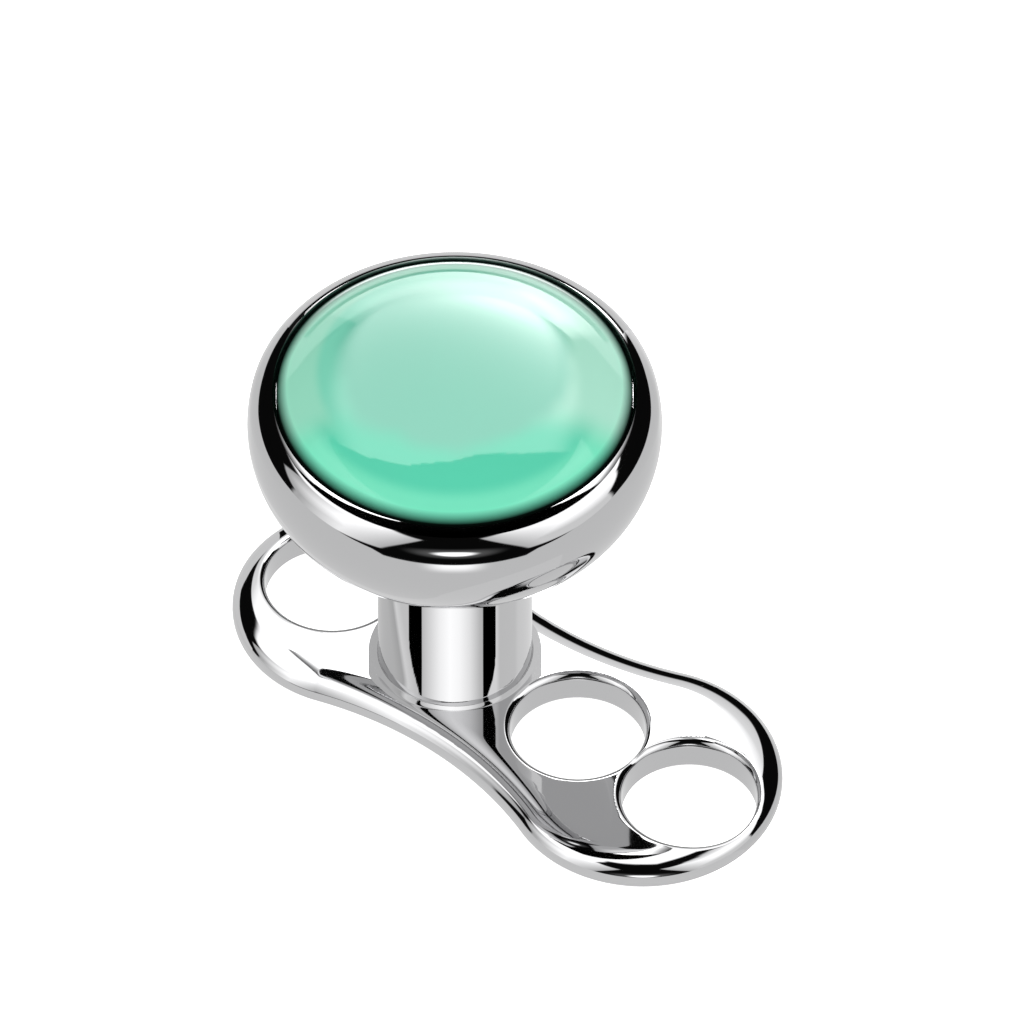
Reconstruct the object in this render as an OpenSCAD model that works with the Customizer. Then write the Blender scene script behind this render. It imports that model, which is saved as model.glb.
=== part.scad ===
// Dermal anchor with a screw-on disc top: a round green cabochon in a polished steel cup,
// whose threaded stud turns into the post of a flat, pierced foot.
// Millimetres. +Z is up, the origin is on the post's axis in the plane of the foot's underside,
// and +X runs along the foot towards its longer end, the toe.

/* [Post] */
// Outside diameter of the post, 14 gauge
post_d = 1.6; // [1.5:0.05:1.8]
// Height of the post between the foot and the disc top
post_h = 2.5; // [2:0.1:4]
// Radius of the fillet where the post runs into the foot
post_fillet = 0.05; // [0.02:0.01:0.06]
// Width of the chamfer round the mouth of the tapped hole
mouth_chamfer = 0.04; // [0.02:0.01:0.06]

/* [Foot] */
// Thickness of the foot
foot_t = 0.4; // [0.3:0.01:0.5]
// Radius of the toe, the longer end of the foot
toe_r = 1.45; // [1.3:0.01:1.6]
// Radius of the heel, the shorter end of the foot
heel_r = 1.33; // [1.25:0.01:1.45]
// Width of metal on each side of the post, at the waist between heel and toe
waist_wall = 0.25; // [0.2:0.01:0.35]
// Width of the straight band between the rounded upper and lower edges of the foot
rim_flat = 0.04; // [0.02:0.01:0.1]

/* [Holes in the foot] */
// Radius of each hole
hole_r = 0.7; // [0.6:0.01:0.75]
// Radius of the rounded edges of each hole
hole_edge_r = 0.08; // [0.04:0.01:0.1]
// Width of metal between the post and the hole on each side of it
post_web = 0.14; // [0.12:0.01:0.3]
// Width of metal between the two holes of the toe
hole_web = 0.08; // [0.06:0.01:0.2]
// Width of metal beyond the toe's outer hole
toe_wall = 0.13; // [0.12:0.01:0.3]
// Width of metal beyond the heel's hole
heel_wall = 0.26; // [0.15:0.01:0.4]

/* [Disc cup] */
// Height of the cup from its flat underside to its lip
cup_h = 1.5; // [1.4:0.05:1.7]
// Width of the flat lip round the stone
lip_w = 0.025; // [0.01:0.005:0.05]
// How far the belly, the widest part of the cup, stands out past the lip
belly_out = 0.27; // [0.2:0.01:0.35]
// How far the flat underside is drawn in from the belly
underside_in = 0.51; // [0.35:0.01:0.6]
// Radius of the large curve from the underside to the shoulder
belly_r = 1.25; // [1.1:0.05:1.4]
// Radius of the tight curve from the shoulder to the lip
shoulder_r = 0.33; // [0.3:0.01:0.36]
// Depth of the seat for the stone below the lip
seat_depth = 0.7; // [0.5:0.05:0.8]

/* [Stone] */
// Radius of the stone at its girdle
stone_r = 1.835; // [1.8:0.005:1.85]
// Height of the dome above the girdle
dome_h = 0.72; // [0.5:0.02:1]
// How far the girdle's upper edge lies below the cup's lip
stone_drop = 0.02; // [0:0.01:0.05]

/* [Stud] */
// Outside diameter of the stud's thread
thread_d = 1.2; // [1:0.05:1.2]
// Pitch of the thread
thread_pitch = 0.25; // [0.2:0.01:0.3]
// Depth of the thread
thread_depth = 0.13; // [0.08:0.01:0.16]
// Length of the stud below the cup
stud_l = 1.6; // [1.4:0.05:1.9]
// Length of the plain neck between the cup and the thread
neck_l = 0.22; // [0.1:0.02:0.4]

/* [Clearances] */
// Radial gap between the stud's thread and the tapped hole, drawn plain at its major diameter
thread_gap = 0.02; // [0.01:0.01:0.05]
// Gap between the tip of the stud and the floor of the tapped hole
tip_gap = 0.15; // [0.1:0.05:0.3]
// Gap left between the stone and its seat
stone_gap = 0.01; // [0.005:0.005:0.03]
// Gap between the cup's underside and the end of the post
cup_gap = 0.01; // [0.01:0.01:0.03]

/* [Hidden] */
$fn = 96;
// How far a cutting tool runs past the surface that it cuts
past = 0.2;
// Angle by which one curve's cutter runs on under the next one's, so that no fin is left between
lap_angle = 10;

// Post and its tapped hole
post_r = post_d / 2;
post_top = foot_t + post_h;
thread_r = thread_d / 2;
bore_r = thread_r + thread_gap;

// Foot: each hole stands off the post or its neighbour by a web, and each end off its hole
hole_x = post_r + post_web + hole_r;
outer_hole_x = hole_x + 2 * hole_r + hole_web;
toe_reach = outer_hole_x + hole_r + toe_wall - toe_r;
heel_reach = hole_x + hole_r + heel_wall - heel_r;
rim_r = (foot_t - rim_flat) / 2;

// Waist: one circle on each side of the foot touches the round heel, the round toe and the line
// that runs a waist wall outside the post. Its centre follows from how far each round end
// swells past that line.
waist_half = post_r + waist_wall;
foot_span = heel_reach + toe_reach;
heel_swell = heel_r - waist_half;
toe_swell = toe_r - waist_half;
heel_term = heel_r ^ 2 - waist_half ^ 2;
toe_term = toe_r ^ 2 - waist_half ^ 2;
span_term = heel_swell * foot_span ^ 2 + toe_swell * heel_term - heel_swell * toe_term;
waist_root = sqrt((heel_swell * foot_span) ^ 2 + (toe_swell - heel_swell) * span_term);
waist_along = span_term / (heel_swell * foot_span + waist_root);
waist_r = (waist_along ^ 2 - heel_term) / (2 * heel_swell);
waist_x = waist_along - heel_reach;
waist_y = waist_r + waist_half;
heel_angle = atan2(waist_y, waist_x + heel_reach);
toe_angle = atan2(waist_y, toe_reach - waist_x);

// Cup: the stone sets its seat, lip, belly and underside. The belly's centre is set by its
// largest radius and the underside, the shoulder's by the lip, and the two curves touch on the
// line through both centres.
cup_z = post_top + cup_gap;
seat_r = stone_r + stone_gap;
lip_r = seat_r + lip_w;
cup_r = lip_r + belly_out;
belly_x = cup_r - belly_r;
belly_z = sqrt(belly_r ^ 2 - (belly_r - underside_in) ^ 2);
// The shoulder's centre lies on a circle round the belly's centre and on one round the lip's edge
lip_dx = lip_r - belly_x;
lip_dz = cup_h - belly_z;
lip_away = sqrt(lip_dx ^ 2 + lip_dz ^ 2);
curves_apart = belly_r - shoulder_r;
lip_along = (lip_away ^ 2 + curves_apart ^ 2 - shoulder_r ^ 2) / (2 * lip_away);
lip_aside = sqrt(curves_apart ^ 2 - lip_along ^ 2);
shoulder_x = belly_x + (lip_dx * lip_along + lip_dz * lip_aside) / lip_away;
shoulder_z = belly_z + (lip_dz * lip_along - lip_dx * lip_aside) / lip_away;
join_angle = atan2(shoulder_z - belly_z, shoulder_x - belly_x);

// Stone
girdle_top = cup_h - stone_drop;
dome_r = (stone_r ^ 2 + dome_h ^ 2) / (2 * dome_h);
stone_floor = cup_h - seat_depth + stone_gap;

// Stud and its helical thread: sides round, then the shares of the pitch at which each
// point of the ridge's section lies, with the share of the thread's depth that it is cut to
thread_sides = 24;
thread_section = [[0, 1], [0.15, 1], [0.5, 0], [0.65, 0]];
thread_top = 1.25 * thread_pitch - neck_l;
thread_turns = ceil((stud_l - neck_l) / thread_pitch) + 2;

// What lies outside a circle round a centre, between two angles less than a half turn apart
module outside_arc(centre, r, a0, a1) {
    reach = 3 * r / cos((a1 - a0) / 2);
    middle = (a0 + a1) / 2;
    translate(centre)
        difference() {
            polygon([
                [0, 0],
                [reach * cos(a0), reach * sin(a0)],
                [reach * cos(middle), reach * sin(middle)],
                [reach * cos(a1), reach * sin(a1)],
            ]);
            circle(r);
        }
}

// Section of the foot with its rounded edge at one x and its square end at another
module rim_section(edge, end) {
    inwards = sign(end - edge);
    facing = inwards < 0 ? 0 : 180;
    centre = edge + inwards * rim_r;
    difference() {
        translate([min(edge, end), 0]) square([abs(end - edge), foot_t]);
        outside_arc([centre, rim_r], rim_r, facing, facing + inwards * 90);
        outside_arc([centre, foot_t - rim_r], rim_r, facing, facing - inwards * 90);
    }
}

// Round end of the foot, on the outside of its two tangent lines
module foot_end(r, tangent) {
    rotate([0, 0, tangent])
        rotate_extrude(angle = 360 - 2 * tangent) rim_section(r, 0);
}

// What the waist's curve takes away on one side of the foot
module waist_bite(side) {
    translate([waist_x, side * waist_y, 0])
        rotate_extrude()
            difference() {
                translate([0, -past]) square([waist_r + rim_r, foot_t + 2 * past]);
                rim_section(waist_r, waist_r + foot_t);
            }
}

// Middle of the foot, between the lines from the waist's centres to the ends' centres
module foot_waist() {
    difference() {
        linear_extrude(foot_t)
            polygon([
                [-heel_reach, 0],
                [waist_x, -waist_y],
                [toe_reach, 0],
                [waist_x, waist_y],
            ]);
        waist_bite(-1);
        waist_bite(1);
    }
}

// Cutter for one hole of the foot, flared at both faces by the rounded edges
module foot_hole(x) {
    flare_r = hole_r + hole_edge_r;
    translate([x, 0, 0])
        rotate_extrude()
            difference() {
                translate([0, -past]) square([flare_r, foot_t + 2 * past]);
                translate([hole_r, hole_edge_r])
                    square([2 * hole_edge_r, foot_t - 2 * hole_edge_r]);
                translate([flare_r, hole_edge_r]) circle(hole_edge_r);
                translate([flare_r, foot_t - hole_edge_r]) circle(hole_edge_r);
            }
}

// Post with the fillet that runs into the foot, as far down as the underside
module post() {
    rotate_extrude() {
        square([post_r, post_top]);
        square([post_r + post_fillet, foot_t]);
        difference() {
            translate([post_r, foot_t]) square(post_fillet);
            translate([post_r + post_fillet, foot_t + post_fillet]) circle(post_fillet);
        }
    }
}

// Blind tapped hole of the post, with a chamfered mouth
module tapped_hole() {
    depth = stud_l - cup_gap + tip_gap;
    translate([0, 0, post_top - depth]) cylinder(h = depth + past, r = bore_r);
    translate([0, 0, post_top - mouth_chamfer])
        cylinder(h = 2 * mouth_chamfer, r1 = bore_r, r2 = bore_r + 2 * mouth_chamfer);
}

// Foot and post, machined in one piece
module anchor_base() {
    color("silver")
        difference() {
            union() {
                translate([-heel_reach, 0, 0]) foot_end(heel_r, heel_angle);
                translate([toe_reach, 0, 0])
                    rotate([0, 0, 180]) foot_end(toe_r, toe_angle);
                foot_waist();
                post();
            }
            for (x = [-hole_x, hole_x, outer_hole_x]) foot_hole(x);
            tapped_hole();
        }
}

// Half section of the cup without its seat, from the axis out to the belly and up to the lip
module cup_section() {
    difference() {
        square([cup_r + past, cup_h]);
        outside_arc([belly_x, belly_z], belly_r, -90, join_angle + lap_angle);
        outside_arc([shoulder_x, shoulder_z], shoulder_r, join_angle, 90);
    }
}

// One point of the thread, at a step along the ridge's section and a step round the axis
function thread_point(i, j) =
    let (
        corner = thread_section[i % len(thread_section)],
        turn = floor(i / len(thread_section)) + corner[0] + j / thread_sides,
        r = thread_r - thread_depth * corner[1],
        angle = -360 * j / thread_sides
    )
    [r * cos(angle), r * sin(angle), thread_top - turn * thread_pitch];

// Helical ridge on a core, with more turns than the stud keeps
module thread_solid() {
    per_turn = len(thread_section);
    rows = per_turn * thread_turns;
    points = [
        for (i = [0 : rows + per_turn - 1]) for (j = [0 : thread_sides - 1])
            thread_point(i, j),
        [0, 0, thread_top + thread_pitch],
        [0, 0, thread_top - (thread_turns + 2) * thread_pitch],
    ];
    above = len(points) - 2;
    below = len(points) - 1;
    // The column after the last is the first one, a turn further down the ridge
    at = function(i, j) j < thread_sides ? i * thread_sides + j : (i + per_turn) * thread_sides;
    sides = [
        for (i = [0 : rows - 2]) for (j = [0 : thread_sides - 1])
            each [
                [at(i, j), at(i + 1, j + 1), at(i, j + 1)],
                [at(i, j), at(i + 1, j), at(i + 1, j + 1)],
            ],
    ];
    first = [for (j = [0 : thread_sides - 1]) [above, at(0, j), at(0, j + 1)]];
    first_step = [for (i = [0 : per_turn - 1]) [above, at(i + 1, 0), at(i, 0)]];
    last = [for (j = [0 : thread_sides - 1]) [below, at(rows - 1, j + 1), at(rows - 1, j)]];
    last_step = [
        for (i = [rows - 1 : rows + per_turn - 2]) [below, at(i, 0), at(i + 1, 0)],
    ];
    polyhedron(points, concat(sides, first, first_step, last, last_step));
}

// Threaded stud under the cup, with a plain neck and a rounded tip
module stud() {
    translate([0, 0, -neck_l]) cylinder(h = neck_l + past, r = thread_r);
    intersection() {
        thread_solid();
        union() {
            translate([0, 0, thread_r - stud_l])
                cylinder(h = stud_l - thread_r - neck_l / 2, r = 2 * thread_r);
            translate([0, 0, thread_r - stud_l]) sphere(r = thread_r);
        }
    }
}

// Cup and stud, joined for good
module disc_cup() {
    color("silver")
        translate([0, 0, cup_z]) {
            difference() {
                rotate_extrude() cup_section();
                translate([0, 0, cup_h - seat_depth])
                    cylinder(h = seat_depth + past, r = seat_r);
            }
            stud();
        }
}

// Domed stone with a flat back and a straight girdle inside the cup
module cabochon() {
    color("aquamarine")
        translate([0, 0, cup_z])
            intersection() {
                translate([0, 0, girdle_top + dome_h - dome_r]) sphere(r = dome_r);
                translate([0, 0, stone_floor]) cylinder(h = seat_depth + dome_h, r = stone_r);
            }
}

anchor_base();
disc_cup();
cabochon();
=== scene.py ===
"""Dermal anchor with a screw-on disc top: polished steel foot, post and cup, mint green stone.
Sizes below are in millimetres and go into the meshes as metres."""
import bpy
import bmesh
import numpy as np
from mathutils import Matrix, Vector


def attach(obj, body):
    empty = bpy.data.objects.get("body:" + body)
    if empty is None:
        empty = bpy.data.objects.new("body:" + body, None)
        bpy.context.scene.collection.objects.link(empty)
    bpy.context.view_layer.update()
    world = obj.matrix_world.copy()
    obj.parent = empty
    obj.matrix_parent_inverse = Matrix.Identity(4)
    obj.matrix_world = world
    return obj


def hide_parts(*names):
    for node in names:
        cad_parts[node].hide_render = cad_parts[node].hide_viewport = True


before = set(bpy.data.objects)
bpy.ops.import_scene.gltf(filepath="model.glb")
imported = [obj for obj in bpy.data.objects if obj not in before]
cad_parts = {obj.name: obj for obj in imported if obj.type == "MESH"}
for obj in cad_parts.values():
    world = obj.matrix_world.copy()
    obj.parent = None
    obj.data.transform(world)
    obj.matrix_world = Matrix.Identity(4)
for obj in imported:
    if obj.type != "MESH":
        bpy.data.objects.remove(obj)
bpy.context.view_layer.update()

# ---------------------------------------------------------------- Camera
# A long lens looks down on the jewel from 48 degrees above the table, 39 degrees round from its
# length, so that nothing tapers. The frame is 10.6 mm wide where the jewel stands.
MM = 0.001
camera_azimuth, camera_elevation = np.radians(39), np.radians(48)
camera_distance, frame_width = 400, 10.6
aim = np.array([0.143, 0.762, 2.0])

towards = np.array([np.sin(camera_azimuth) * np.cos(camera_elevation),
                    -np.cos(camera_azimuth) * np.cos(camera_elevation),
                    np.sin(camera_elevation)])
lens = bpy.data.cameras.new("long_lens")
lens.sensor_width = 36
lens.lens = 36 * camera_distance / frame_width
lens.clip_start, lens.clip_end = 0.01, 10
camera = bpy.data.objects.new("camera", lens)
camera.location = (aim + camera_distance * towards) * MM
camera.rotation_euler = Vector(-towards).to_track_quat("-Z", "Y").to_euler()
bpy.context.collection.objects.link(camera)
bpy.context.scene.camera = camera
bpy.context.scene.view_settings.view_transform = "Standard"

# ---------------------------------------------------------------- Light tent and table
# The jewel stands on a plain white sheet. Round it is a light tent: a tall soft box on each side
# in front with black velvet between them, a soft box high behind, and a grey sweep below.
# Polished steel shows its surroundings, so small light cards also stand close to the jewel. Only
# mirrors show them, and they are no part of it.


def linear(code):
    """Linear light of an sRGB hex colour: a power of 2.4 above the straight part near black."""
    part = [int(code[i:i + 2], 16) / 255 for i in (1, 3, 5)]
    return tuple(c / 12.92 if c <= 0.04045 else ((c + 0.055) / 1.055) ** 2.4 for c in part) + (1,)


def add(tree, kind, *inputs, **settings):
    """Adds a node to a tree. Settings name its properties, or its sockets, and inputs fill its
    open sockets in order. A node given to a socket stands for its own first open output."""
    new = tree.nodes.new("ShaderNode" + kind)
    for key in [key for key in settings if hasattr(new, key)]:
        setattr(new, key, settings.pop(key))
    sockets = [socket for socket in new.inputs if socket.enabled][:len(inputs)]
    sockets += [new.inputs[key.replace("_", " ")] for key in settings]
    for socket, value in zip(sockets, list(inputs) + list(settings.values())):
        if isinstance(value, bpy.types.Node):
            value = next(output for output in value.outputs if output.enabled)
        if isinstance(value, bpy.types.NodeSocket):
            tree.links.new(value, socket)
        else:
            socket.default_value = value
    return new


tent = bpy.data.worlds.new("light_tent")
bpy.context.scene.world = tent
tent.use_nodes = True
sky = tent.node_tree
sky.nodes.clear()

# Each direction by its turn from the camera's side, right positive, and its height, in degrees
seen = add(sky, "TexCoord").outputs["Generated"]
part = add(sky, "SeparateXYZ", add(sky, "Mapping", seen, Rotation=(0, 0, -camera_azimuth)))
rightward = part.outputs["X"]
forward = add(sky, "Math", part.outputs["Y"], -1.0, operation="MULTIPLY")
turn = add(sky, "Math", add(sky, "Math", rightward, forward, operation="ARCTAN2"),
           operation="DEGREES")
off = add(sky, "Math", turn, operation="ABSOLUTE")
height = add(sky, "Math", add(sky, "Math", part.outputs["Z"], operation="ARCSINE"),
             operation="DEGREES")
soft = {"interpolation_type": "SMOOTHERSTEP"}

# Soft boxes: their inner edges lean, and they dim inwards. The right one also dims downwards and
# upwards, and leans back along the top; the left one dims outwards.
right_edge = add(sky, "MapRange", height, 15, 40, 83, 105)
right_edge = add(sky, "MapRange", height, 40, 55, right_edge, 142)
left_edge = add(sky, "MapRange", height, 10, 30, 86, 104)
box_edge = add(sky, "MapRange", turn, -5, 5, left_edge, right_edge)
box_outer = add(sky, "Math", off, box_edge, operation="SUBTRACT")
left_light = add(sky, "MapRange", box_outer, -40, -4, 1.75, 0.65)
right_light = add(sky, "MapRange", height, 8, 30, 0.95, 1.75)
right_light = add(sky, "MapRange", height, 52, 70, right_light, 0.95)
side_light = add(sky, "MapRange", turn, -1, 1, left_light, right_light)
left_top = add(sky, "MapRange", off, 15, 45, 44, 60)
right_top = add(sky, "MapRange", off, 15, 60, 54, 71)
right_top = add(sky, "MapRange", off, 95, 135, right_top, 60)
box_top = add(sky, "MapRange", turn, -1, 1, left_top, right_top)
above_box = add(sky, "Math", height, box_top, operation="SUBTRACT")
box_inner = add(sky, "Math", height, 0.28, off, operation="MULTIPLY_ADD")
boxes = add(sky, "MapRange", box_inner, 31, 66, 0.66, 1.75)
boxes = add(sky, "Math", boxes, side_light, operation="MINIMUM")
boxes = add(sky, "MapRange", box_inner, 30, 33, 0, boxes, **soft)
boxes = add(sky, "MapRange", box_outer, 2, -2, 0, boxes, **soft)
boxes = add(sky, "MapRange", above_box, 3, -3, 0, boxes, **soft)
boxes = add(sky, "MapRange", height, -18, -12, 0, boxes, **soft)

# Overhead soft box: a level sheet whose front edge runs across just behind the jewel, and whose
# back edge comes lowest right behind
roof_edge = add(sky, "MapRange", off, 100, 140, 44, 50)
roof_edge = add(sky, "MapRange", off, 147, 163, roof_edge, 27, **soft)
roof_edge = add(sky, "MapRange", off, 163, 180, roof_edge, 22)
above = add(sky, "Math", height, roof_edge, operation="SUBTRACT")
across = add(sky, "Math", rightward, part.outputs["Z"], operation="DIVIDE")
behind = add(sky, "Math", part.outputs["Y"], part.outputs["Z"], operation="DIVIDE")
front_edge = add(sky, "MapRange", across, 0.08, 1.08, -0.05, 1.25)
front_edge = add(sky, "MapRange", across, -0.2, -0.6, front_edge, -0.65)
past_edge = add(sky, "Math", behind, front_edge, operation="SUBTRACT")
roof = add(sky, "MapRange", height, 24, 42, 0.9, 1.15)
roof = add(sky, "MapRange", height, 42, 48, roof, 1.75)
roof = add(sky, "MapRange", past_edge, -0.03, 0.05, 0, roof, **soft)
roof = add(sky, "MapRange", above, -2, 3, 0, roof, **soft)

# Lamp that shows through the velvet in front, with a faint halo
lamp = add(sky, "VectorMath", add(sky, "CombineXYZ", turn, height), (0.1, 0.125, 0),
           (0, -0.2, 0), operation="MULTIPLY_ADD")
from_lamp = add(sky, "VectorMath", lamp, operation="LENGTH")
halo = add(sky, "MapRange", from_lamp, 2.9, 0.9, 0.004, 0.13, **soft)
lamp = add(sky, "MapRange", from_lamp, 1.4, 0.5, halo, 2.2, **soft)

# Grey sweep below: its far edge climbs from under the camera to the horizon behind. It catches
# the lamp's glow in front, and is a little brighter behind.
sweep_edge = -31.0
for start, end, level in ((36, 62, -13), (62, 88, -3), (88, 125, 1), (125, 140, 7)):
    sweep_edge = add(sky, "MapRange", off, start, end, sweep_edge, level)
below = add(sky, "Math", sweep_edge, height, operation="SUBTRACT")
glow = add(sky, "MapRange", off, 22, 2, 0.8, 1.7, **soft)
glow = add(sky, "MapRange", height, -44, -32, 0.8, glow, **soft)
bright = add(sky, "MapRange", rightward, -0.4, 0.4, 0.86, 1.0)
bright = add(sky, "MapRange", off, 135, 160, 0.8, bright, **soft)
bright = add(sky, "MapRange", height, -52, -36, 0.8, bright, **soft)
bright = add(sky, "MapRange", height, 12, -4, 0.8, bright, **soft)
ground = add(sky, "Math", glow, bright, operation="MAXIMUM")

lights = add(sky, "Math", boxes, roof, operation="MAXIMUM")
lights = add(sky, "Math", lights, lamp, operation="MAXIMUM")
lights = add(sky, "MapRange", below, -0.6, 0.8, lights, ground, **soft)
# Past the sheet's edge the camera itself sees only a plain pale backdrop
backdrop = add(sky, "Background", linear("#f4f4f2"), 1.0)
direct = add(sky, "LightPath").outputs["Is Camera Ray"]
glowing = add(sky, "Background", (1, 1, 1, 1), lights)
add(sky, "OutputWorld", add(sky, "MixShader", direct, glowing, backdrop))

sheet_half = 60
sheet = bpy.data.meshes.new("table")
corners = np.array([[-1, -1, 0], [1, -1, 0], [1, 1, 0], [-1, 1, 0]]) * sheet_half * MM
sheet.from_pydata(corners.tolist(), [], [(0, 1, 2, 3)])
table = bpy.data.objects.new("table", sheet)
bpy.context.collection.objects.link(table)
table.visible_glossy = False

paper = bpy.data.materials.new("white_paper")
paper.use_nodes = True
tree = paper.node_tree
tree.nodes.clear()
matt = add(tree, "BsdfDiffuse", linear("#f4f4f2"))
lit = add(tree, "Emission", (1, 1, 1, 1), 0.9)
add(tree, "OutputMaterial", add(tree, "AddShader", matt, lit))
sheet.materials.append(paper)


def small_card(name, right, away, up, strength, cover=1.0):
    """A card that only mirrors show, and only from its front: a grid of points by how far they
    lie to the camera's right, away from it and up, with the light that each point gives and the
    share of what lies behind it that it covers."""
    grid = np.stack(np.broadcast_arrays(
        right * np.cos(camera_azimuth) - away * np.sin(camera_azimuth),
        right * np.sin(camera_azimuth) + away * np.cos(camera_azimuth), up), -1)
    rows, columns = grid.shape[:2]
    at = np.arange(rows * columns).reshape(rows, columns)
    faces = np.stack([at[:-1, :-1], at[1:, :-1], at[1:, 1:], at[:-1, 1:]], -1).reshape(-1, 4)
    mesh = bpy.data.meshes.new(name)
    mesh.from_pydata((grid.reshape(-1, 3) * MM).tolist(), [], faces.tolist())
    for key, values in (("light", strength), ("cover", cover)):
        shade = mesh.attributes.new(key, "FLOAT", "POINT")
        shade.data.foreach_set("value", np.broadcast_to(values, (rows, columns)).ravel())
    card = bpy.data.objects.new(name, mesh)
    bpy.context.collection.objects.link(card)
    card.visible_camera = card.visible_diffuse = card.visible_shadow = False
    card.visible_transmission = card.visible_volume_scatter = False
    cloth = bpy.data.materials.new(name)
    cloth.use_nodes = True
    tree = cloth.node_tree
    tree.nodes.clear()
    amount = add(tree, "Attribute", attribute_name="light").outputs["Fac"]
    opaque = add(tree, "Attribute", attribute_name="cover").outputs["Fac"]
    back = add(tree, "NewGeometry").outputs["Backfacing"]
    opaque = add(tree, "MapRange", back, 0, 1, opaque, 0)
    add(tree, "OutputMaterial", add(tree, "MixShader", opaque, add(tree, "BsdfTransparent"),
                                    add(tree, "Emission", (1, 1, 1, 1), amount)))
    mesh.materials.append(cloth)


# A curved card stands close round the post: white in front and brightest just left of its
# middle, between two black strips that narrow towards the foot, and grey round the sides
post_card_r = 0.9
card_turn = np.linspace(-118, 118, 473)
card_z = np.linspace(0.405, 2.88, 60)[:, None]
streak = card_turn - np.interp(card_z, [0.5, 1.6], [16, 0])
left_grey = np.interp(streak, [-92, -74, -68, -63, -58, -54, -50],
                      [0.66, 0.67, 0.62, 0.58, 1.0, 0.93, 0.85])
right_grey = np.interp(card_turn, [36, 40, 58, 63, 118], [1.05, 0.80, 0.80, 0.88, 0.86])
white = np.interp(card_turn, [-28, -21, -12.5, -4, 4, 12.5, 21, 24],
                  [0.8, 1.08, 1.44, 1.66, 1.54, 1.24, 0.78, 0.7])
left_end = np.interp(card_z, [0.4, 0.53, 0.66, 0.8, 1.0, 1.2],
                     [-30.2, -32.7, -35.3, -38, -40.6, -41.1])
right_end = np.interp(card_z, [0.3, 0.4, 0.53, 0.66, 0.8, 1.0],
                      [25, 27.8, 30.9, 33.4, 35, 35.9])
card_light = np.where((card_turn < -28.3) | (card_turn > 23.6), 0, white)
card_light = np.where(card_turn < left_end, left_grey, card_light)
card_light = np.where(card_turn > right_end, right_grey, card_light)
small_card("post_card", post_card_r * np.sin(np.radians(card_turn)),
           -post_card_r * np.cos(np.radians(card_turn)), card_z, card_light)

# A white panel hangs low over the stone, brightest behind on the right, with a black flag along
# its front edge
panel_z, panel_front_r, panel_back_r = 5.6, 2.65, 4.2
panel_right = np.linspace(-2.6, 2.6, 131)
panel_front = -np.sqrt(panel_front_r ** 2 - panel_right ** 2)
panel_back = np.sqrt(panel_back_r ** 2 - panel_right ** 2)
panel_away = panel_front + (panel_back - panel_front) * np.linspace(0, 1, 170)[:, None]
flag_edge = np.interp(panel_right, [-2.4, -2.25, -1.57, -0.84, -0.05, 0.41, 1.12, 2.15, 2.5],
                      [-0.6, -0.84, -1.29, -1.56, -1.53, -1.39, -1.30, -1.04, -0.9])
panel_light = 3.4 + 6.5 * np.exp(-((panel_right - 1.3) / 1.6) ** 2
                                 - ((panel_away - 2.9) / 2.1) ** 2)
panel_light = panel_light * np.interp(np.abs(panel_right), [1.7, 1.95, 2.35, 2.6],
                                      [1, 0.8, 0.2, 0])
panel_light = np.where(panel_away < flag_edge, 0, panel_light)
small_card("stone_panel", panel_right, panel_away, panel_z, panel_light)

# A bright window stands behind below the panel, clearer towards its ends and its foot
window_r, window_strength = 4.2, 8.0
window_turn = np.linspace(135, 214, 90)
window_z = np.linspace(4.0, 5.6, 60)[:, None]
window_light = (np.interp(window_turn, [136, 140, 147, 158, 180, 193, 205, 214],
                          [0, 3.0, 6.5, 8.0, 6.2, 4.2, 3.0, 1.0])
                * np.interp(window_z, [4.1, 4.5, 4.95, 5.6], [0.28, 0.38, 0.75, 1]))
small_card("window", window_r * np.sin(np.radians(window_turn)),
           -window_r * np.cos(np.radians(window_turn)), window_z, window_strength,
           window_light / window_strength)

# A low grey card stands close behind the cup's shoulder, which mirrors nothing else there, and
# its black upper edge shows in the lip
wall_r = 2.2
wall_turn = np.linspace(121, 237, 117)
wall_z = np.linspace(4.1, 4.53, 25)[:, None]
small_card("grey_wall", wall_r * np.sin(np.radians(wall_turn)),
           -wall_r * np.cos(np.radians(wall_turn)), wall_z,
           np.interp(wall_z, [4.43, 4.45], [0.88, 0.01]))

# ---------------------------------------------------------------- Foot and post
# One piece of surgical steel. The flat foot is blanked, pierced with three holes for tissue to
# grow through and tumbled until its edges are round; the post is turned, and tapped from above.
foot_t = 0.4
toe_r, heel_r = 1.45, 1.33
hole_r, hole_round = 0.7, 0.08
hole_x, outer_hole_x = 1.64, 3.12
toe_reach, heel_reach = 2.5, 1.27
waist_x, waist_y, waist_r = 0.442033, 5.09403, 4.04403
edge_flat, crown_r, crown_lean = 0.02, 0.6, np.radians(24)
post_r, post_top, post_fillet, post_round = 0.8, 2.9, 0.05, 0.025
bore_r, mouth_chamfer, bore_floor = 0.62, 0.04, 1.16
cell_cuts = (-0.855, 0.855, 2.38)

heel_turn = np.arctan2(waist_y, waist_x + heel_reach)
toe_turn = np.arctan2(waist_y, toe_reach - waist_x)
heel_run = heel_r * (np.pi - heel_turn)
waist_run = waist_r * (np.pi - heel_turn - toe_turn)
toe_run = toe_r * (np.pi - toe_turn)

crown_drop = crown_r * (1 - np.cos(crown_lean))
edge_r = (foot_t / 2 - edge_flat / 2 - crown_drop) / np.cos(crown_lean)
edge_in = edge_r * (1 - np.sin(crown_lean))
crown_in = edge_in + crown_r * np.sin(crown_lean)


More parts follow.
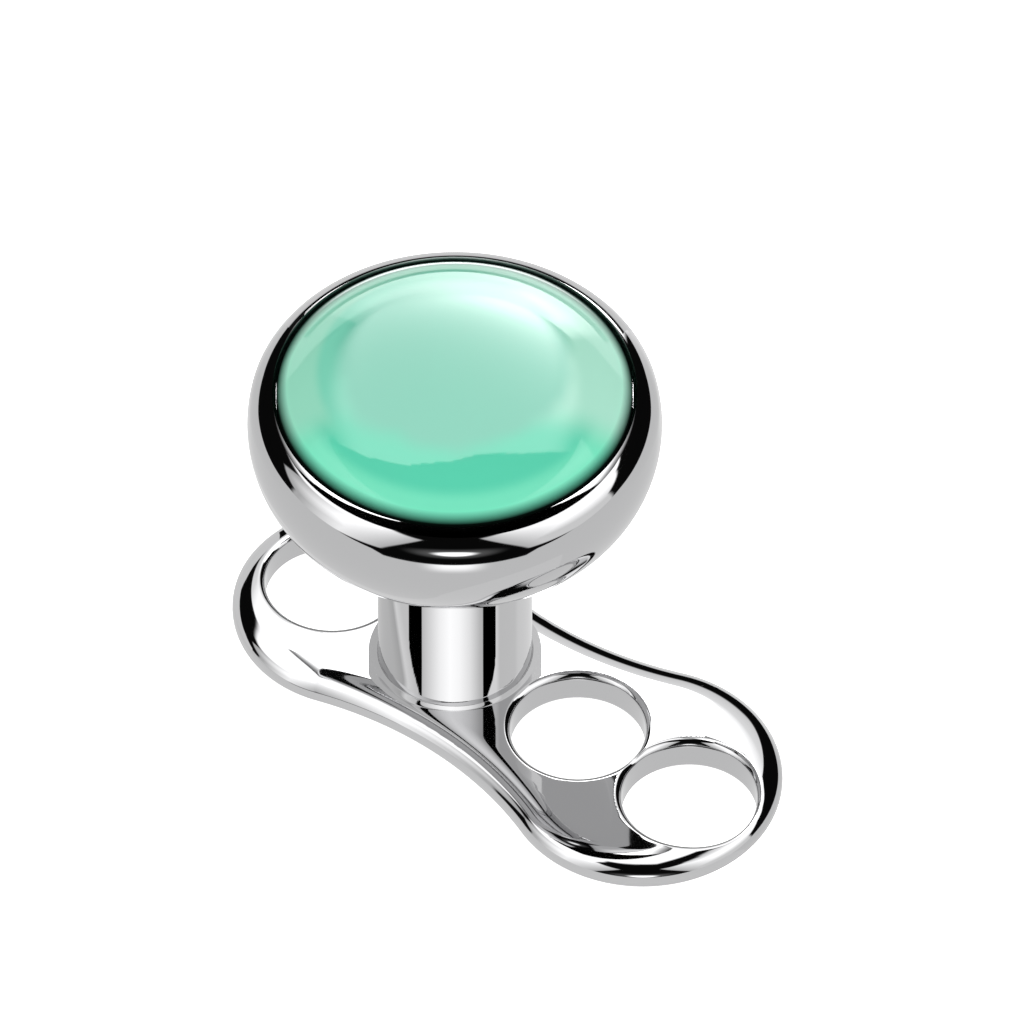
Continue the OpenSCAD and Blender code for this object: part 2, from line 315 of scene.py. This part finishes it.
def outline_point(run):
    """Point of the outline's upper half at a length of run from the heel's tip: round the heel's
    circle, then along the waist's circle, which bends the other way, then round the toe's."""
    heel = np.pi - run / heel_r
    waist = np.pi + heel_turn + (run - heel_run) / waist_r
    toe = np.pi - toe_turn - (run - heel_run - waist_run) / toe_r
    on_heel, on_toe = run < heel_run, run > heel_run + waist_run
    x = np.where(on_heel, -heel_reach + heel_r * np.cos(heel),
                 np.where(on_toe, toe_reach + toe_r * np.cos(toe),
                          waist_x + waist_r * np.cos(waist)))
    y = np.where(on_heel, heel_r * np.sin(heel),
                 np.where(on_toe, toe_r * np.sin(toe), waist_y + waist_r * np.sin(waist)))
    return np.stack([x, y], -1)


def run_at(x):
    """Length of run at which the outline's upper half crosses a line of constant x."""
    runs = np.linspace(0, heel_run + waist_run + toe_run, 40001)
    return np.interp(x, outline_point(runs)[:, 0], runs)


def outline_gap(x, y):
    """Distance in from the outline: to the heel's circle left of the line that joins the heel's
    centre to the waist's, to the toe's circle right of the toe's line, else to the waist's."""
    y = np.abs(y)
    left = (x + heel_reach) * waist_y < y * (waist_x + heel_reach)
    right = (x - toe_reach) * waist_y > y * (waist_x - toe_reach)
    heel = heel_r - np.hypot(x + heel_reach, y)
    toe = toe_r - np.hypot(x - toe_reach, y)
    waist = np.hypot(x - waist_x, y - waist_y) - waist_r
    return np.where(left, heel, np.where(right, toe, waist))


def foot_height(x, y, with_post):
    """Height of the foot's upper surface: its thickness, less the fall of a wide arc and then of
    a tight arc towards the outline, less the fall of a quarter round into each hole, plus the
    rise of a quarter round to the post."""
    gap = np.clip(outline_gap(x, y), 0, None)
    crown = crown_r - np.sqrt(crown_r ** 2 - np.clip(crown_in - gap, 0, crown_in - edge_in) ** 2)
    edge = np.sqrt(edge_r ** 2 - np.clip(edge_r - gap, 0, None) ** 2)
    z = np.where(gap > edge_in, foot_t - crown, foot_t / 2 + edge_flat / 2 + edge)
    for centre in (-hole_x, hole_x, outer_hole_x):
        away = np.clip(hole_round - (np.hypot(x - centre, y) - hole_r), 0, hole_round)
        z = z - hole_round + np.sqrt(hole_round ** 2 - away ** 2)
    if with_post:
        near = np.clip(post_fillet - (np.hypot(x, y) - post_r), 0, post_fillet)
        z = z + post_fillet - np.sqrt(post_fillet ** 2 - near ** 2)
    return z


fine_steps = (1 - np.cos(np.linspace(0, np.pi, 600))) / 2


def even_by_turn(far, z, count):
    """Distances along each row at which a surface of height z is divided evenly by its turn plus
    a share of its length."""
    step, rise = np.diff(far, axis=1), np.diff(z, axis=1)
    weight = np.hypot(step, rise)
    weight = weight / weight.sum(1, keepdims=True)
    weight[:, 1:] += 0.35 * np.abs(np.diff(np.arctan2(rise, step), axis=1))
    weight = np.concatenate([np.zeros((len(far), 1)), np.cumsum(weight, 1)], 1)
    wanted = np.linspace(0, 1, count)
    return np.stack([np.interp(wanted, row / row[-1], dist) for row, dist in zip(weight, far)])


def ray_samples(centre, inner, rim, count, with_post):
    """Points along rays from a circle of radius inner to each point of a closed rim."""
    away = rim - [centre, 0]
    reach = np.linalg.norm(away, axis=1)
    way = away / reach[:, None]
    far = inner + (reach[:, None] - inner) * fine_steps
    z = foot_height(centre + way[:, :1] * far, way[:, 1:] * far, with_post)
    out = even_by_turn(far, z, count)
    x, y = centre + way[:, :1] * out, way[:, 1:] * out
    return np.stack([x, y, foot_height(x, y, with_post)], -1)


def cell_rim(low_cut, high_cut, centre, spacing):
    """Closed rim of one cell of the foot, anticlockwise: the right-hand cut upwards, the upper
    outline leftwards, the left-hand cut downwards and the lower outline rightwards."""
    ends = [run_at(low_cut) if low_cut is not None else 0,
            run_at(high_cut) if high_cut is not None else heel_run + waist_run + toe_run]
    steps = max(8, int((ends[1] - ends[0]) / spacing))
    upper = outline_point(np.linspace(ends[1], ends[0], steps + 1))
    lower = (upper * [1, -1])[::-1]
    pieces = [upper[:-1]]
    if high_cut is not None:
        pieces.insert(0, cut_points(high_cut)[:-1])
    if low_cut is not None:
        pieces.append(cut_points(low_cut)[::-1][:-1])
    pieces.append(lower[:-1])
    return np.concatenate(pieces)


def cut_points(x):
    """Points up a line of constant x across the foot, evenly by the surface's turn."""
    top = outline_point(run_at(x))[1]
    far = (top * fine_steps)[None]
    half = even_by_turn(far, foot_height(x, far, False), 44)[0]
    y = np.concatenate([-half[:0:-1], half])
    return np.stack([np.full(len(y), x), y], -1)


class Shell:
    """Gathers sheets of points and their faces into one closed mesh."""

    def __init__(self):
        """Starts with no points and no faces."""
        self.points, self.quads, self.fans, self.total = [], [], [], 0

    def sheet(self, grid, wrap=True, flip=False):
        """Adds a grid of points, rows by columns. Each cell of the grid is a face, and where the
        rows wrap the last joins the first."""
        rows, columns = grid.shape[:2]
        at = self.total + np.arange(rows * columns).reshape(rows, columns)
        self.points.append(grid.reshape(-1, 3))
        self.total += rows * columns
        here = np.concatenate([at, at[:1]]) if wrap else at
        faces = np.stack([here[:-1, :-1], here[:-1, 1:], here[1:, 1:], here[1:, :-1]], -1)
        faces = faces.reshape(-1, 4)
        self.quads.append(faces[:, ::-1] if flip else faces)
        return at

    def cap(self, ring, centre):
        """Closes a ring of points with triangles to one point."""
        self.points.append(np.array([centre], float))
        tip = np.full(len(ring), self.total)
        self.total += 1
        self.fans.append(np.stack([ring, np.roll(ring, -1), tip], -1))

    def piece(self, name, join=2e-5):
        """Makes the object: joins points that coincide, drops faces that close up, turns faces
        outwards and shades them smooth."""
        mesh = bpy.data.meshes.new(name)
        faces = np.concatenate(self.quads).tolist()
        faces += np.concatenate(self.fans).tolist() if self.fans else []
        mesh.from_pydata(np.concatenate(self.points).tolist(), [], faces)
        work = bmesh.new()
        work.from_mesh(mesh)
        bmesh.ops.remove_doubles(work, verts=work.verts, dist=join)
        bmesh.ops.recalc_face_normals(work, faces=work.faces)
        bmesh.ops.scale(work, vec=(MM, MM, MM), verts=work.verts)
        work.to_mesh(mesh)
        work.free()
        mesh.shade_smooth()
        made = bpy.data.objects.new(name, mesh)
        bpy.context.collection.objects.link(made)
        return made


anchor = Shell()
spacing, across = 0.04, 34
cells = ((None, cell_cuts[0], -hole_x), (cell_cuts[0], cell_cuts[1], 0),
         (cell_cuts[1], cell_cuts[2], hole_x), (cell_cuts[2], None, outer_hole_x))
for low_cut, high_cut, centre in cells:
    rim = cell_rim(low_cut, high_cut, centre, spacing)
    at_post = centre == 0
    inner = post_r if at_post else hole_r
    top = ray_samples(centre, inner, rim, across, at_post)
    under = ray_samples(centre, inner, rim, across, False)
    under[..., 2] = foot_t - under[..., 2]
    top_at = anchor.sheet(top)
    under_at = anchor.sheet(under, flip=True)
    on_outline = outline_gap(rim[:, 0], rim[:, 1]) < 1e-6
    follows = on_outline & np.roll(on_outline, -1)
    a, b = top_at[:, -1], np.roll(top_at[:, -1], -1)
    c, d = np.roll(under_at[:, -1], -1), under_at[:, -1]
    anchor.quads.append(np.stack([a, d, c, b], -1)[follows])
    if not at_post:
        a, b = top_at[:, 0], np.roll(top_at[:, 0], -1)
        c, d = np.roll(under_at[:, 0], -1), under_at[:, 0]
        anchor.quads.append(np.stack([a, b, c, d], -1))
        continue
    # The post goes on upwards from the fillet's ring, with a rounded rim, and down into the bore
    anchor.cap(under_at[:, 0], (0, 0, 0))
    way = top[:, 0, :2] / post_r
    turn_in = np.linspace(0, np.pi / 2, 6)
    rounded = np.stack([post_r - post_round * (1 - np.cos(turn_in)),
                        post_top - post_round * (1 - np.sin(turn_in))], -1)
    profile = np.concatenate([
        [[post_r, 1.0], [post_r, 1.7], [post_r, 2.3]], rounded,
        [[bore_r + mouth_chamfer, post_top], [bore_r + 0.003, post_top - mouth_chamfer + 0.003],
         [bore_r, post_top - mouth_chamfer - 0.004], [bore_r, 2.0], [bore_r, bore_floor + 0.02],
         [bore_r - 0.02, bore_floor]]])
    rings = np.concatenate([way[:, None, :] * profile[None, :, :1],
                            np.broadcast_to(profile[None, :, 1:], (len(way), len(profile), 1))], -1)
    post_at = anchor.sheet(rings, flip=True)
    a, b = top_at[:, 0], np.roll(top_at[:, 0], -1)
    c, d = np.roll(post_at[:, 0], -1), post_at[:, 0]
    anchor.quads.append(np.stack([a, b, c, d], -1))
    anchor.cap(post_at[:, -1], (0, 0, bore_floor))
anchor_piece = anchor.piece("anchor_base_steel")

# The broad faces take their normals from the surface's own slopes, so that the joints between
# the cells leave no mark in what the steel mirrors
at = np.empty(3 * len(anchor_piece.data.vertices))
anchor_piece.data.vertices.foreach_get("co", at)
x, y, z = at.reshape(-1, 3).T / MM
normals = np.empty(at.shape)
anchor_piece.data.vertex_normals.foreach_get("vector", normals)
normals = normals.reshape(-1, 3)
for side, with_post in ((1, True), (-1, False)):
    surface = foot_height(x, y, with_post)
    near = 1e-4
    slope = np.stack([(foot_height(x + near, y, with_post) - foot_height(x - near, y, with_post)),
                      (foot_height(x, y + near, with_post) - foot_height(x, y - near, with_post))],
                     -1) / (2 * near)
    level = surface if side > 0 else foot_t - surface
    beyond_holes = np.min([np.hypot(x - centre, y) for centre in (-hole_x, hole_x, outer_hole_x)],
                          axis=0) > hole_r + 0.004
    smooth = ((np.abs(z - level) < 2e-4) & (np.hypot(*slope.T) < 2.5) & beyond_holes
              & ((np.hypot(x, y) > post_r + 0.004) | (side < 0)) & (outline_gap(x, y) > 0.004))
    true_normals = np.column_stack([-slope, np.full(len(x), 1.0)]) * [1, 1, side]
    true_normals /= np.linalg.norm(true_normals, axis=1, keepdims=True)
    normals[smooth] = true_normals[smooth]
anchor_piece.data.normals_split_custom_set_from_vertices(normals.tolist())

# A low grey card stands close behind the heel on the left, which its rounded edge mirrors
heel_card_r = 2.33
heel_turn_seen = np.radians(np.linspace(-150, -75, 60))
heel_card_z = np.interp(np.degrees(heel_turn_seen), [-150, -127, -107, -87, -75],
                        [1.06, 1.06, 0.87, 0.63, 0.35]) * np.linspace(0, 1, 6)[:, None]
small_card("heel_card",
           -heel_reach * np.cos(camera_azimuth) + heel_card_r * np.sin(heel_turn_seen),
           heel_reach * np.sin(camera_azimuth) - heel_card_r * np.cos(heel_turn_seen),
           heel_card_z, 0.9)

# A strip of the white sheet close in front of the foot, which the foot's lower edge mirrors
strip_run = np.linspace(0, heel_run + waist_run + toe_run, 160)
strip = outline_point(strip_run) * [1, -1]
along = np.gradient(strip, strip_run, axis=0)
outwards = np.stack([along[:, 1], -along[:, 0]], -1) / np.linalg.norm(along, axis=1, keepdims=True)
strip_width = np.interp(strip[:, 0], [-0.5, 1.5, 3.9], [0.65, 1.05, 1.75])[:, None]
strip = strip + outwards * (0.05 + strip_width * np.linspace(0, 1, 12)[:, None, None])
small_card("near_sheet",
           strip[..., 0] * np.cos(camera_azimuth) + strip[..., 1] * np.sin(camera_azimuth),
           strip[..., 1] * np.cos(camera_azimuth) - strip[..., 0] * np.sin(camera_azimuth),
           0.004, 0.86)

# Surgical steel 316L, cut and then tumbled and buffed to a mirror: it shows the tent sharply,
# softened a little by the buffing's fine haze and by waves too shallow to feel. The haze is drawn
# about 0.7 mm wide and the waves 1.1 mm, because a buff's own marks, some thousandths of a
# millimetre, are too fine to show.
steel = bpy.data.materials.new("mirror_buffed_surgical_steel")
steel.use_nodes = True
tree = steel.node_tree
tree.nodes.clear()
place = add(tree, "TexCoord").outputs["Object"]
haze = add(tree, "TexNoise", place, Scale=1400.0, Detail=3.0)
dull = add(tree, "MapRange", haze, 0, 1, 0.02, 0.05)
waves = add(tree, "TexNoise", place, Scale=900.0, Detail=2.0)
bump = add(tree, "Bump", Height=waves, Strength=0.02, Distance=0.00001)
shine = add(tree, "BsdfPrincipled", linear("#cbcbcc"), 1.0, dull, Normal=bump)
add(tree, "OutputMaterial", shine)

anchor_piece.data.materials.append(steel)
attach(anchor_piece, "anchor")
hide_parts("anchor_base")

# ---------------------------------------------------------------- Disc cup and its stud
# The cup is turned from steel bar: a flat underside, a round belly, a tight shoulder and a thin
# lip rolled against the stone. Its stud has a rolled right-hand thread and a rounded tip.
cup_z, cup_h = 2.91, 1.5
underside_r = 1.63
belly_x, belly_r = 0.89, 1.25
belly_z = np.sqrt(belly_r ** 2 - (underside_r - belly_x) ** 2)
shoulder_r, lip_r, seat_r, seat_depth = 0.33, 1.88, 1.845, 0.7
stud_l, thread_r, thread_depth, thread_pitch, neck_l = 1.6, 0.6, 0.13, 0.25, 0.22
cup_sides = 256


def arc(x, z, r, start, end, count):
    """Points of a circle's arc in a half section: centre plus radius times cosine and sine."""
    angle = np.linspace(start, end, count)
    return np.stack([x + r * np.cos(angle), z + r * np.sin(angle)], -1)


def cup_profile():
    """Half section of the cup from the stud's root out along the underside, up the belly's arc
    and the shoulder's, which touch on the line through their centres, over the lip and down
    into the seat."""
    dx, dz = lip_r - belly_x, cup_h - belly_z
    away, apart = np.hypot(dx, dz), belly_r - shoulder_r
    along = (away ** 2 + apart ** 2 - shoulder_r ** 2) / (2 * away)
    aside = np.sqrt(apart ** 2 - along ** 2)
    sx = belly_x + (dx * along + dz * aside) / away
    sz = belly_z + (dz * along - dx * aside) / away
    join = np.arctan2(sz - belly_z, sx - belly_x)
    low = np.arctan2(-belly_z, underside_r - belly_x)
    lip = np.arctan2(cup_h - sz, lip_r - sx)
    return np.concatenate([
        [[thread_r + 0.02, 0], [1.0, 0], [1.4, 0], [underside_r - 0.012, 0],
         [underside_r - 0.004, 0.001]],
        arc(belly_x, belly_z, belly_r, low + 0.004, join, 60)[:-1],
        arc(sx, sz, shoulder_r, join, lip, 34),
        [[seat_r, cup_h - 0.05], [seat_r, 1.1], [seat_r, cup_h - seat_depth + 0.004],
         [seat_r - 0.004, cup_h - seat_depth], [1.0, cup_h - seat_depth]]])


def stud_grid(rows):
    """Rows of points down the stud: a plain neck, then a ridge whose height above the core
    depends on how far round the axis and down the axis a point lies, in turns of the pitch,
    and a round tip that closes in on the axis."""
    z = np.linspace(0, -1, rows) * (stud_l - 1e-4)
    angle = np.arange(cup_sides) * 2 * np.pi / cup_sides
    phase = (-z[:, None] + neck_l * 0.25) / thread_pitch + angle / (2 * np.pi)
    phase = phase - np.floor(phase)
    ridge = np.clip((np.abs(phase - 0.5) * 2 - 0.16) / 0.62, 0, 1)
    ridge = ridge * ridge * (3 - 2 * ridge)
    runs_in = np.clip((-z[:, None] - neck_l) / 0.06, 0, 1)
    r = thread_r - thread_depth * ridge * runs_in
    tip = np.sqrt(np.clip(thread_r ** 2 - np.clip(-z - (stud_l - thread_r), 0, None) ** 2, 0, None))
    r = np.minimum(r, tip[:, None])
    grid = np.stack([r * np.cos(angle), r * np.sin(angle),
                     np.broadcast_to(z[:, None], r.shape)], -1)
    return grid.transpose(1, 0, 2)


def revolved(profile, sides):
    """A profile of radius and height carried round the vertical axis, one column to a side."""
    angle = np.arange(sides) * 2 * np.pi / sides
    return np.stack([profile[None, :, 0] * np.cos(angle)[:, None],
                     profile[None, :, 0] * np.sin(angle)[:, None],
                     np.broadcast_to(profile[None, :, 1], (sides, len(profile)))], -1)


cup = Shell()
cup_at = cup.sheet(revolved(cup_profile(), cup_sides))
cup.cap(cup_at[:, -1], (0, 0, cup_h - seat_depth))
stud_at = cup.sheet(stud_grid(170))
cup.quads.append(np.stack([cup_at[:, 0], np.roll(cup_at[:, 0], -1),
                           np.roll(stud_at[:, 0], -1), stud_at[:, 0]], -1))
cup.cap(stud_at[:, -1], (0, 0, -stud_l))
cup.points = [p + [0, 0, cup_z] for p in cup.points]
cup_piece = cup.piece("disc_cup_steel", join=1e-5)
cup_piece.data.set_sharp_from_angle(angle=np.radians(30))
cup_piece.data.materials.append(steel)
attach(cup_piece, "top")
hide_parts("disc_cup")

# ---------------------------------------------------------------- Stone
# A cabochon of opaque mint glass, flat behind and polished to a low dome. Its skin is deeper green
# than its middle, and in front it turns lighter towards the very edge.
stone_r, dome_h, stone_drop, girdle_round = 1.835, 0.72, 0.02, 0.03
stone_sides = 256


def stone_profile():
    """Half section of the stone: flat back, straight girdle, a small round and the dome's arc."""
    dome_r = (stone_r ** 2 + dome_h ** 2) / (2 * dome_h)
    top = cup_h - stone_drop
    floor = cup_h - seat_depth + 0.01
    lean = np.arcsin((stone_r - girdle_round) / (dome_r - girdle_round))
    centre = top + dome_h - dome_r
    turn_z = centre + (dome_r - girdle_round) * np.cos(lean)
    return np.concatenate([
        [[1.0, floor], [stone_r - 0.02, floor], [stone_r, floor + 0.02], [stone_r, 1.1]],
        arc(stone_r - girdle_round, turn_z, girdle_round, 0, np.pi / 2 - lean, 7)[:-1],
        arc(0, centre, dome_r, np.pi / 2 - lean, np.pi / 2, 60)[:-1]])


stone = Shell()
stone_at = stone.sheet(revolved(stone_profile(), stone_sides))
stone.cap(stone_at[:, 0], (0, 0, cup_h - seat_depth + 0.01))
stone.cap(stone_at[:, -1], (0, 0, cup_h - stone_drop + dome_h))
stone.points = [p + [0, 0, cup_z] for p in stone.points]
stone_piece = stone.piece("cabochon_mint_glass", join=1e-5)

# Milky mint glass, pressed and fire polished. The cloudy core is a little greyer than the clear
# skin round it, and its edge wanders over about a millimetre. Round the back the skin is painted
# paler, most on one side, as painted highlight and painted reflection. The girdle's dark edge is
# painted shade, wider round the back, and the reflection fades out there.
glass = bpy.data.materials.new("polished_milky_mint_glass")
glass.use_nodes = True
tree = glass.node_tree
tree.nodes.clear()
place = add(tree, "TexCoord").outputs["Object"]
plan = add(tree, "VectorMath", place, (1000, 1000, 0), operation="MULTIPLY")
reach = add(tree, "VectorMath", plan, operation="LENGTH")
drift = add(tree, "TexNoise", plan, Scale=0.9, Detail=2.0)
wander = add(tree, "MapRange", drift, 0.3, 0.7, -0.08, 0.08)
core = add(tree, "Math", reach, wander, operation="ADD")
core = add(tree, "MapRange", core, 1.34, 1.04, 0, 1, **soft)
towards_back = add(tree, "VectorMath", plan, (-0.63, 0.78, 0), operation="DOT_PRODUCT")
towards_side = add(tree, "VectorMath", plan, (0.78, 0.63, 0), operation="DOT_PRODUCT")
skin = add(tree, "MapRange", reach, 1.5, 1.68, 0, 1, **soft)
skin = add(tree, "Mix", skin, linear("#61dbb7"), linear("#7eeec8"), data_type="RGBA")
# A painted reflection: the ring round the core is painted lighter towards its edge
rim = add(tree, "MapRange", reach, 1.34, 1.5, 0, 1, **soft)
rim = add(tree, "Mix", rim, linear("#83ddc0"), linear("#9ce4c8"), data_type="RGBA")
# A painted highlight: towards one side the skin is painted paler still, up to near white
painted_highlight_side = add(tree, "MapRange", towards_side, -0.2, 0.9, 0, 1, **soft)
painted_highlight_side = add(tree, "Mix", painted_highlight_side, rim, linear("#b5f0d9"), data_type="RGBA")
# Round the back these painted tones take the place of the plain skin
back = add(tree, "MapRange", towards_back, -1.0, -0.4, 0, 1, **soft)
tone_and_painted_light = add(tree, "Mix", back, skin, painted_highlight_side, data_type="RGBA")
tone_and_painted_light = add(tree, "Mix", core, tone_and_painted_light, linear("#74ccb1"), data_type="RGBA")
# A painted shade: near the girdle the colour fades to near black, over a wider band round the back,
# and the reflection fades out with it
girdle = add(tree, "MapRange", towards_back, 0.4, 1.6, 1.73, 1.58)
girdle = add(tree, "MapRange", reach, girdle, 1.83, 0, 1)
tone_and_painted_light = add(tree, "Mix", girdle, tone_and_painted_light, linear("#07110d"), data_type="RGBA")
gloss = add(tree, "MapRange", reach, 1.66, 1.81, 0.5, 0, **soft)
body = add(tree, "BsdfPrincipled", tone_and_painted_light, Roughness=0.06, IOR=1.52, Specular_IOR_Level=gloss)
add(tree, "OutputMaterial", body)
stone_piece.data.materials.append(glass)
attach(stone_piece, "top")
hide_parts("cabochon")
